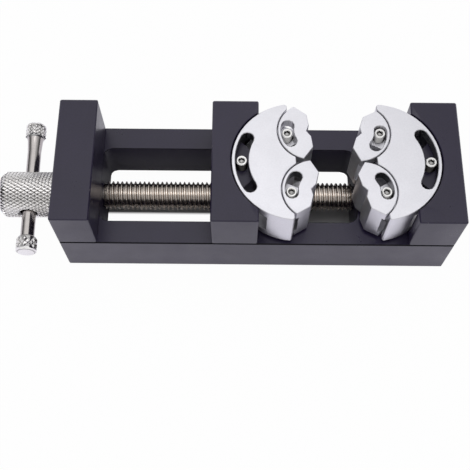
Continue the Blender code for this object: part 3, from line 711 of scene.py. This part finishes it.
class VISE_OT_finishes(bpy.types.Operator):
    """Makes the shared node groups and every material of the vise"""

    bl_idname = "vise.finishes"
    bl_label = "Finishes"

    def execute(self, context):
        colours = context.scene.vise_colours
        blasted_grain_group()
        tool_lines_group()
        wear_and_sheen_group()
        handling_group()
        dark_recess_group()
        black_anodised(colours)
        silver_anodised(colours)
        oxide_steel(colours)
        steel, nickel = colours.stainless, colours.nickel
        across_x, across_y, across_z = (1.0, 0.08, 0.08), (0.08, 1.0, 0.08), (0.08, 0.08, 1.0)
        along_x = (0.1, 1.0, 1.0)
        fine, plain, rough = 0.000003, 0.000005, 0.000006
        turned_metal("stainless_thread", steel, across_x, 0.20, 0.30, rough, shade=0.45)
        turned_metal("knurled_nickel", nickel, across_x, 0.20, 0.30, fine, shade=0.9, start=0.72)
        turned_metal("cap_nickel", nickel, across_y, 0.20, 0.28, fine, shade=0.5)
        turned_metal("polished_bar", colours.bar_steel, across_y, 0.10, 0.17, fine)
        turned_metal("screw_steel", steel, across_z, 0.20, 0.32, plain)
        turned_metal("washer_bronze", colours.bronze, across_x, 0.25, 0.38, plain)
        turned_metal("plate_steel", steel, along_x, 0.30, 0.42, rough)
        return {"FINISHED"}


class VISE_OT_frame(bpy.types.Operator):
    """Breaks the edges of the base, the fixed block and the moving block, and dyes them and the
    screw end block black
    """

    bl_idname = "vise.frame"
    bl_label = "Base and blocks"

    def execute(self, context):
        # The blocks' bevels are worn bright, and the base's carry painted shade, the dark line
        # below the blocks.
        width = context.scene.vise_sizes.edge_break
        for node, body, mark in (
            ("base_frame", "base", PAINTED_SHADE),
            ("screw_end_block", "base", WEAR_AND_SHEEN),
            ("fixed_block", "base", WEAR_AND_SHEEN),
            ("moving_block", "carriage", WEAR_AND_SHEEN),
        ):
            piece = copy_of_node(node, f"{node}_milled")
            if node != "screw_end_block":
                break_edges(piece, width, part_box(node)[1].z, least_angle=70)
            mark_faces(piece, mark, on_bevel)
            smooth(piece)
            hand_over(piece, body, "dyed_aluminium", node)
        return {"FINISHED"}


class VISE_OT_crescents(bpy.types.Operator):
    """Breaks the edges of the two crescents and the four jaws and gives them their finish"""

    bl_idname = "vise.crescents"
    bl_label = "Crescents and jaws"

    def execute(self, context):
        # Light falls into the slots of the rear jaws, so their walls are not shaded.
        width = context.scene.vise_sizes.jaw_edge_break
        widest_groove = 0.008
        for node, body, shade in (
            ("moving_crescent", "crescent_m", 1.0),
            ("fixed_crescent", "crescent_f", 1.0),
            ("moving_rear_jaw", "jaw_m_rear", 0.0),
            ("moving_front_jaw", "jaw_m_front", 1.0),
            ("fixed_rear_jaw", "jaw_f_rear", 0.0),
            ("fixed_front_jaw", "jaw_f_front", 1.0),
        ):
            piece = copy_of_node(node, f"{node}_milled")
            break_edges(piece, width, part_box(node)[1].z, least_angle=60)
            # Painted shade on the walls of the slots and grooves, as strong as each piece's value.
            mark_inner_walls(piece, widest_groove, shade)
            smooth(piece)
            hand_over(piece, body, "blasted_aluminium", node)
        return {"FINISHED"}


class VISE_OT_lead_screw(bpy.types.Operator):
    """Cuts the lead screw's thread and turns its plain ends"""

    bl_idname = "vise.lead_screw"
    bl_label = "Lead screw"

    def execute(self, context):
        sizes = context.scene.vise_sizes
        centre = Vector((0, 0, screw_axis_height))
        radius, journal = sizes.screw_radius, sizes.journal_radius
        left_plain, right_plain = 0.0103, 0.0093
        left, right = base_low.x + left_plain, screw_high.x - right_plain
        piece = threaded_pin(
            "lead_screw_threaded", "X", centre, left, right, radius, sizes.screw_pitch,
            chamfer=sizes.screw_pitch * 0.4, steps=32, sides=48,
        )
        overlap, chamfer = 0.0005, 0.0003
        for name, low, high in (
            ("journal_left", screw_low.x, left + overlap),
            ("journal_right", right - overlap, screw_high.x),
        ):
            end = lathe(
                name, "X", centre,
                [(low, journal - chamfer), (low + chamfer, journal),
                 (high - chamfer, journal), (high, journal - chamfer)],
            )
            cut(piece, end, "UNION")
        # Painted shade in the thread's grooves, and on the plain ends, which lie deeper than the
        # thread's grooves.
        dark_depth = 0.00065
        mark_recess(piece, "X", centre, radius, dark_depth)
        smooth(piece, 25)
        hand_over(piece, "screw", "stainless_thread", "lead_screw")
        return {"FINISHED"}


class VISE_OT_knob(bpy.types.Operator):
    """Knurls the knob, rounds its ends and bores it for the tommy bar"""

    bl_idname = "vise.knob"
    bl_label = "Knob"

    def execute(self, context):
        sizes = context.scene.vise_sizes
        centre = Vector((knob_middle.x, 0, screw_axis_height))
        half = (knob_high.x - knob_low.x) / 2
        radius = (knob_high.z - knob_low.z) / 2
        rim = 0.0003
        first = rim - half
        row = 2 * (half - rim) / sizes.knob_rows
        piece = knurled_grip(
            "handle_knob_knurled", "X", centre, first, row, sizes.knob_rows,
            sizes.knob_knurls, radius, sizes.knurl_depth,
        )
        self.close_ends(centre, half, first, radius - sizes.knurl_depth)
        hole = sizes.bar_radius + sizes.bore_gap
        flare, flare_depth = 0.0005, 0.0004
        mouth = radius - flare_depth
        bore = lathe(
            "bore", "Y", centre - AXES["X"] * sizes.bore_shift,
            [(-radius - OVERRUN, hole + flare), (-mouth, hole + flare), (flare - mouth, hole),
             (mouth - flare, hole), (mouth, hole + flare), (radius + OVERRUN, hole + flare)],
        )
        cut(piece, bore)
        # Painted shade in the knurl's grooves and in the cross hole; the plain ends stay unmarked.
        plain_end = 0.0009
        mark_recess(piece, "X", centre, radius, sizes.knurl_depth, half - plain_end)
        smooth(piece, 20)
        hand_over(piece, "screw", "knurled_nickel", "handle_knob")
        return {"FINISHED"}

    def close_ends(self, centre, half, first, foot):
        """Draws in the last rows towards both ends, and closes the ends with a chamfer."""
        rounded, rounded_length = 0.0009, 0.0013
        chamfer, inset = 0.0007, 0.0012
        shoulder = foot - rounded
        share = shoulder / foot
        for ring, end in ((first, -half), (-first, half)):
            place = centre + AXES["X"] * ring

            def on_end_ring(corner):
                return abs(corner.co.x - place.x) < NEAR

            choose("VERT", on_end_ring)
            bpy.ops.transform.resize(
                value=(share, share, share), center_override=place,
                use_proportional_edit=True, proportional_edit_falloff="SPHERE",
                proportional_size=rounded_length,
            )
            close_tube("X", centre, ring, [(end, shoulder - chamfer), (end, shoulder - inset)])
        face_outwards()
        end_edit()


class VISE_OT_tommy_bar(bpy.types.Operator):
    """Turns the tommy bar and knurls its two caps"""

    bl_idname = "vise.tommy_bar"
    bl_label = "Tommy bar"

    def execute(self, context):
        sizes = context.scene.vise_sizes
        hole = Vector((knob_middle.x - sizes.bore_shift, 0, screw_axis_height))
        centre = hole + AXES["Y"] * sizes.bar_offset
        half = sizes.bar_length / 2
        radius = (bar_high.z - bar_low.z) / 2
        lip_step = 0.0006
        inner = radius - lip_step
        rear, rear_inner = self.make_cap(
            "tommy_bar_turned", sizes, centre, radius, inner, 1, sizes.rear_cap_knurls, 3
        )
        front, front_inner = self.make_cap(
            "tommy_bar_cap_knurled", sizes, centre, radius, inner, -1, sizes.front_cap_knurls, 2
        )
        overlap = 0.0006
        swell_start, swell_end, swell = 0.0042, 0.0008, 0.00022
        bar = lathe(
            "bar", "Y", centre,
            [(front_inner - overlap, sizes.bar_radius),
             (rear_inner - swell_start, sizes.bar_radius),
             (rear_inner - swell_end, sizes.bar_radius + swell),
             (rear_inner, inner), (rear_inner + overlap, inner)],
        )
        cut(rear, bar, "UNION")
        bore_depth, fit = 0.0009, 0.00005
        bore = lathe(
            "bore", "Y", centre,
            [(front_inner - bore_depth, sizes.bar_radius + fit),
             (front_inner + OVERRUN, sizes.bar_radius + fit)],
        )
        cut(front, bore)
        lean = Matrix.Rotation(sizes.bar_lean, 4, "Z")
        lean = Matrix.Translation(hole) @ lean @ Matrix.Translation(-hole)
        for piece, node in ((rear, "tommy_bar"), (front, "tommy_bar_cap")):
            # Painted shade in the caps' knurl grooves; polish_bar clears it from the plain bar.
            mark_recess(piece, "Y", centre, radius, sizes.cap_knurl_depth)
            plain_faces = [
                face.index for face in piece.data.polygons
                if abs(face.center.y - centre.y) < half - sizes.cap_length - WELD
            ]
            piece.data.transform(lean)
            smooth(piece, 25)
            hand_over(piece, "bar", "cap_nickel", node)
            self.polish_bar(piece, plain_faces)
        return {"FINISHED"}

    def make_cap(self, name, sizes, centre, radius, inner, side, around, rows):
        """A knurled cap on one side of the bar; returns it and the place of its inner end.

        The crown is its rounded outer end: how far back from the end, and how far in."""
        lip, plain, shoulder = 0.0004, 0.0008, 0.0001
        crown = ((0.0005, 0), (0.00015, 0.0003), (0, 0.0006), (0, 0.0009))
        outer = side * sizes.bar_length / 2
        near = outer - side * sizes.cap_length
        first = near + side * lip
        last = outer - side * plain
        row = (sizes.cap_length - lip - plain) / rows
        piece = knurled_grip(
            name, "Y", centre, min(first, last), row, rows, around, radius,
            sizes.cap_knurl_depth,
        )
        close_tube("Y", centre, first, [(near, inner)])
        rings = [(last + side * shoulder, radius)]
        rings += [(outer - side * back, radius - inset) for back, inset in crown]
        close_tube("Y", centre, last, rings)
        face_outwards()
        end_edit()
        return piece, near

    def polish_bar(self, piece, plain_faces):
        """Gives the bar between the caps its own finish, without the mark of a groove."""
        piece.data.materials.append(bpy.data.materials["polished_bar"])
        marked = piece.data.attributes[PAINTED_SHADE].data
        for index in plain_faces:
            face = piece.data.polygons[index]
            face.material_index = 1
            for corner in face.loop_indices:
                marked[corner].value = 0.0


class VISE_OT_stop_screws(bpy.types.Operator):
    """Makes one threaded stop screw with its socket and copies it to all six places"""

    bl_idname = "vise.stop_screws"
    bl_label = "Stop screws"

    def execute(self, context):
        pitch = context.scene.vise_sizes.stop_pitch
        places = (
            ("moving_crescent_stop_screw", "carriage"),
            ("fixed_crescent_stop_screw", "base"),
            ("moving_rear_stop_screw", "crescent_m"),
            ("moving_front_stop_screw", "crescent_m"),
            ("fixed_rear_stop_screw", "crescent_f"),
            ("fixed_front_stop_screw", "crescent_f"),
        )
        low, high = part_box(places[0][0])
        middle = Vector(((low.x + high.x) / 2, (low.y + high.y) / 2, 0))
        model = threaded_pin(
            "stop_screw_model", "Z", middle, low.z, high.z, (high.x - low.x) / 2, pitch,
            chamfer=0.00018, steps=24, sides=36,
        )
        corner_radius, socket_depth, tip_depth = 0.00084, 0.0012, 0.0002
        tip_radius = corner_radius * 0.3
        mouth_depth, mouth_rise = 0.00025, 0.0001
        mouth_low, mouth_high = corner_radius * 0.86, corner_radius * 1.2
        sink = lathe(
            "sink", "Z", middle,
            [(high.z - mouth_depth, mouth_low), (high.z + mouth_rise, mouth_high)], sides=36,
        )
        cut(model, sink)
        floor = high.z - socket_depth
        socket = lathe(
            "socket", "Z", middle,
            [(floor - tip_depth, tip_radius), (floor, corner_radius),
             (high.z + OVERRUN, corner_radius)],
            sides=6,
        )
        cut(model, socket)
        ring_floor, floor_spread = high.z - pitch / 2, 0.0003
        floor_shine, thread_shine = 0.3, 0.6

        def on_ring(face):
            return face.center.z > ring_floor and face.normal.z > BEVEL_SLOPE[0]

        def on_floor(face):
            return abs(face.center.z - floor) < floor_spread and face.normal.z > LOOKS_ALONG

        def on_thread(face):
            outside = (face.center - middle).xy.length > mouth_high
            return outside and face.center.z < ring_floor

        # The tops are bright steel, and the socket floors get a painted sheen of it.
        mark_faces(model, WEAR_AND_SHEEN, on_ring)
        mark_faces(model, WEAR_AND_SHEEN, on_floor, floor_shine)
        smooth(model, 30)
        for node, body in places:
            piece = model.copy()
            piece.data = model.data.copy()
            # The jaws' screws stand in light slots, so their threads get painted light.
            if body.startswith("crescent"):
                mark_faces(piece, WEAR_AND_SHEEN, on_thread, thread_shine)
            piece.name = f"{node}_threaded"
            bpy.context.scene.collection.objects.link(piece)
            node_low, node_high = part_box(node)
            move = (node_low + node_high - low - high) / 2
            piece.data.transform(Matrix.Translation(move))
            hand_over(piece, body, "oxide_steel", node)
        bpy.data.objects.remove(model, do_unlink=True)
        return {"FINISHED"}


class VISE_OT_fasteners(bpy.types.Operator):
    """Gives the screws, the keeper plate and the washer that stay as they are their finishes"""

    bl_idname = "vise.fasteners"
    bl_label = "Fasteners"

    def execute(self, context):
        own_finish = {"thrust_washer": "washer_bronze", "keeper_plate": "plate_steel"}
        for name, node_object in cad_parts.items():
            if node_object.hide_render:
                continue
            for slot in node_object.material_slots:
                slot.material = bpy.data.materials[own_finish.get(name, "screw_steel")]
        return {"FINISHED"}


def camera_matrix(place, elevation, heading, roll):
    """The camera's place and turn from its elevation, heading and roll."""
    back = Vector((
        math.sin(heading) * math.cos(elevation),
        -math.cos(heading) * math.cos(elevation),
        math.sin(elevation),
    ))
    right = (-back).cross(AXES["Z"]).normalized()
    up = right.cross(-back)
    turned_right = right * math.cos(roll) + up * math.sin(roll)
    turned_up = up * math.cos(roll) - right * math.sin(roll)
    turn = Matrix((turned_right, turned_up, back)).transposed()
    return Matrix.Translation(place) @ turn.to_4x4()


class VISE_OT_stage(bpy.types.Operator):
    """Sets up the pale floor, the soft studio light and the camera"""

    bl_idname = "vise.stage"
    bl_label = "Stage"

    def execute(self, context):
        stage = context.scene.vise_stage
        self.lay_floor(context.scene.vise_colours, stage)
        self.light_world()
        self.hang_softbox(stage)
        self.stand_camera(context, stage)
        context.scene.view_settings.view_transform = "Standard"
        return {"FINISHED"}

    def lay_floor(self, colours, stage):
        """A matt floor that is plain white for the camera, except where it is in shadow."""
        bpy.ops.mesh.primitive_plane_add(size=6.0)
        floor = bpy.context.active_object
        floor.name = "studio_floor"
        made, tree, shader = new_finish("studio_floor")
        shader.inputs["Roughness"].default_value = 0.9
        shader.inputs["Specular IOR Level"].default_value = 0.1
        place = add_node(tree, "ShaderNodeSeparateXYZ", {0: object_place(tree)}).outputs
        shaded = shaded_share(tree, place)
        paper = mix_colour(
            tree, shaded, shade_of(colours.paper, 1.0), shade_of(colours.paper, 0.6)
        )
        tree.links.new(paper, shader.inputs["Base Color"])
        seen = add_node(tree, "ShaderNodeLightPath").outputs["Is Camera Ray"]
        white, white_in_metal = (1.0, 1.0, 1.0, 1.0), (1.0, 0.975, 1.08, 1.0)
        tint = mix_colour(tree, seen, white_in_metal, white)
        glow = add_node(tree, "ShaderNodeEmission", {"Color": tint, "Strength": 1.0})
        mixed = add_node(
            tree, "ShaderNodeMixShader",
            {0: white_share(tree, stage, place, shaded),
             1: shader.outputs["BSDF"], 2: glow.outputs["Emission"]},
        )
        tree.links.new(mixed.outputs["Shader"], tree.nodes["Material Output"].inputs["Surface"])
        floor.data.materials.append(made)

    def light_world(self):
        """A sky that brightens towards the top, with pale screens in front and behind."""
        world = bpy.data.worlds.new("studio")
        bpy.context.scene.world = world
        world.use_nodes = True
        tree = world.node_tree
        sky = tree.nodes["Background"]
        direction = add_node(tree, "ShaderNodeTexCoord").outputs["Generated"]
        aim = add_node(tree, "ShaderNodeSeparateXYZ", {0: direction}).outputs
        height = aim["Z"]
        level = add_node(tree, "ShaderNodeValToRGB", {"Fac": height})
        # Each tone stands at its height on the sky, from the horizon at 0 to straight up at 1.
        ramp = level.color_ramp
        ramp.elements[0].position = 0.10
        ramp.elements[0].color = (0.08, 0.08, 0.09, 1)
        ramp.elements[1].position = 1.0
        ramp.elements[1].color = (2.4, 2.4, 2.4, 1)
        for position, tone in ((0.42, 0.20), (0.70, 0.69), (0.95, 0.73), (0.985, 1.75)):
            ramp.elements.new(position).color = (tone, tone, tone * 1.02, 1)
        screen_sides, screen_top, screen_white = (0.45, 0.85), (0.25, 0.6), (1.1, 1.1, 1.1, 1.0)
        ahead_or_behind = remap(tree, sums(tree, "ABSOLUTE", aim["Y"]), *screen_sides)
        below_top = remap(tree, height, *screen_top, 1.0, 0.0)
        screens = sums(tree, "MULTIPLY", ahead_or_behind, below_top)
        lit = mix_colour(tree, screens, level.outputs["Color"], screen_white)
        tree.links.new(lit, sky.inputs["Color"])
        white = add_node(tree, "ShaderNodeBackground", {"Color": (1, 1, 1, 1), "Strength": 1.0})
        camera_ray = add_node(tree, "ShaderNodeLightPath").outputs["Is Camera Ray"]
        mixed = add_node(
            tree, "ShaderNodeMixShader",
            {0: camera_ray, 1: sky.outputs["Background"], 2: white.outputs["Background"]},
        )
        tree.links.new(mixed.outputs["Shader"], tree.nodes["World Output"].inputs["Surface"])

    def hang_softbox(self, stage):
        """A wide soft lamp above the vise."""
        lamp = bpy.data.lights.new("softbox", "AREA")
        lamp.shape = "RECTANGLE"
        lamp.size = 0.5
        lamp.size_y = 0.4
        lamp.energy = stage.softbox_power
        hung = bpy.data.objects.new("softbox", lamp)
        bpy.context.scene.collection.objects.link(hung)
        place = Vector((-0.10, 0.12, 0.45))
        aim = Vector((-0.03, 0, 0))
        hung.location = place
        hung.rotation_euler = (aim - place).to_track_quat("-Z", "Y").to_euler()

    def stand_camera(self, context, stage):
        """The camera of the photograph's view."""
        lens = bpy.data.cameras.new("view")
        lens.sensor_width = 36.0
        lens.lens = stage.focal_length
        lens.clip_start = 0.01
        lens.clip_end = 20.0
        camera = bpy.data.objects.new("view", lens)
        bpy.context.scene.collection.objects.link(camera)
        camera.matrix_world = camera_matrix(Vector(stage.camera_place), *stage.camera_turn)
        context.scene.camera = camera


def shaded_share(tree, place):
    """Where the floor stays in the vise's shadow: below the lead screw and between the jaws.

    The shade between the jaws grows from nothing at the left end of the moving block."""
    low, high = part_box("moving_block")
    slot_end, side_end, gap_end = -0.074, -0.0135, 0.0
    front, side_back, gap_back = -0.0155, 0.0125, 0.0065
    strip_front, strip_back, strip_blur = -0.0018, 0.004, 0.0004
    below_jaws = sums(
        tree, "MAXIMUM",
        box_mask(tree, place, (low.x, gap_end), (front, gap_back)),
        box_mask(tree, place, (low.x, side_end), (front, side_back)),
    )
    return sums(
        tree, "MAXIMUM",
        box_mask(tree, place, (slot_end, high.x), (strip_front, strip_back), strip_blur),
        sums(tree, "MULTIPLY", below_jaws, remap(tree, place["X"], low.x, high.x)),
    )


def white_share(tree, stage, place, shaded):
    """How much of the floor is plain white, for the camera and for what metal or glass shows.

    The floor under the base stays in its own shadow for metal that shows it, and the shaded
    places do so for the camera."""
    rays = add_node(tree, "ShaderNodeLightPath").outputs
    beyond = []
    for axis in ("X", "Y"):
        low, high = getattr(base_low, axis.lower()), getattr(base_high, axis.lower())
        from_middle = sums(tree, "ABSOLUTE", sums(tree, "SUBTRACT", place[axis], (low + high) / 2))
        beyond.append(sums(tree, "SUBTRACT", from_middle, (high - low) / 2))
    all_dark, all_white = -0.007, 0.002
    outside = remap(tree, sums(tree, "MAXIMUM", *beyond), all_dark, all_white)
    mirrored = sums(tree, "MAXIMUM", rays["Is Glossy Ray"], rays["Is Transmission Ray"])
    glow = sums(tree, "MULTIPLY", outside, stage.mirrored_glow)
    direct = sums(tree, "MULTIPLY", rays["Is Camera Ray"], stage.floor_glow)
    direct = sums(tree, "MULTIPLY", direct, sums(tree, "SUBTRACT", 1.0, shaded))
    return sums(tree, "MAXIMUM", direct, sums(tree, "MULTIPLY", mirrored, glow))


def box_mask(tree, place, across, along, blur=0.0008):
    """1 inside a box on the floor, given by its ranges in X and Y, and 0 outside."""
    mask = 1.0
    for axis, (low, high) in (("X", across), ("Y", along)):
        rise = remap(tree, place[axis], low - blur, low + blur)
        fall = remap(tree, place[axis], high - blur, high + blur, 1.0, 0.0)
        mask = sums(tree, "MULTIPLY", mask, sums(tree, "MULTIPLY", rise, fall))
    return mask


PIECES = (
    VISE_OT_finishes,
    VISE_OT_frame,
    VISE_OT_crescents,
    VISE_OT_lead_screw,
    VISE_OT_knob,
    VISE_OT_tommy_bar,
    VISE_OT_stop_screws,
    VISE_OT_fasteners,
    VISE_OT_stage,
)


class VISE_PT_panel(bpy.types.Panel):
    """Lists the steps that dress the vise, in order"""

    bl_label = "Drill press vise"
    bl_space_type = "VIEW_3D"
    bl_region_type = "UI"
    bl_category = "Vise"

    def draw(self, context):
        column = self.layout.column()
        for step in PIECES:
            column.operator(step.bl_idname)
        for name, group in GROUPS:
            for key in group.__annotations__:
                column.prop(getattr(context.scene, name), key)


GROUPS = (("vise_sizes", ViseSizes), ("vise_colours", ViseColours), ("vise_stage", ViseStage))


def register():
    for name, group in GROUPS:
        bpy.utils.register_class(group)
        setattr(bpy.types.Scene, name, PointerProperty(type=group))
    for step in (*PIECES, VISE_PT_panel):
        bpy.utils.register_class(step)


def unregister():
    for step in reversed((*PIECES, VISE_PT_panel)):
        bpy.utils.unregister_class(step)
    for name, group in reversed(GROUPS):
        delattr(bpy.types.Scene, name)
        bpy.utils.unregister_class(group)


def main():
    register()
    for step in PIECES:
        group, action = step.bl_idname.split(".")
        getattr(getattr(bpy.ops, group), action)()
    bpy.context.view_layer.update()


if __name__ == "__main__":
    main()
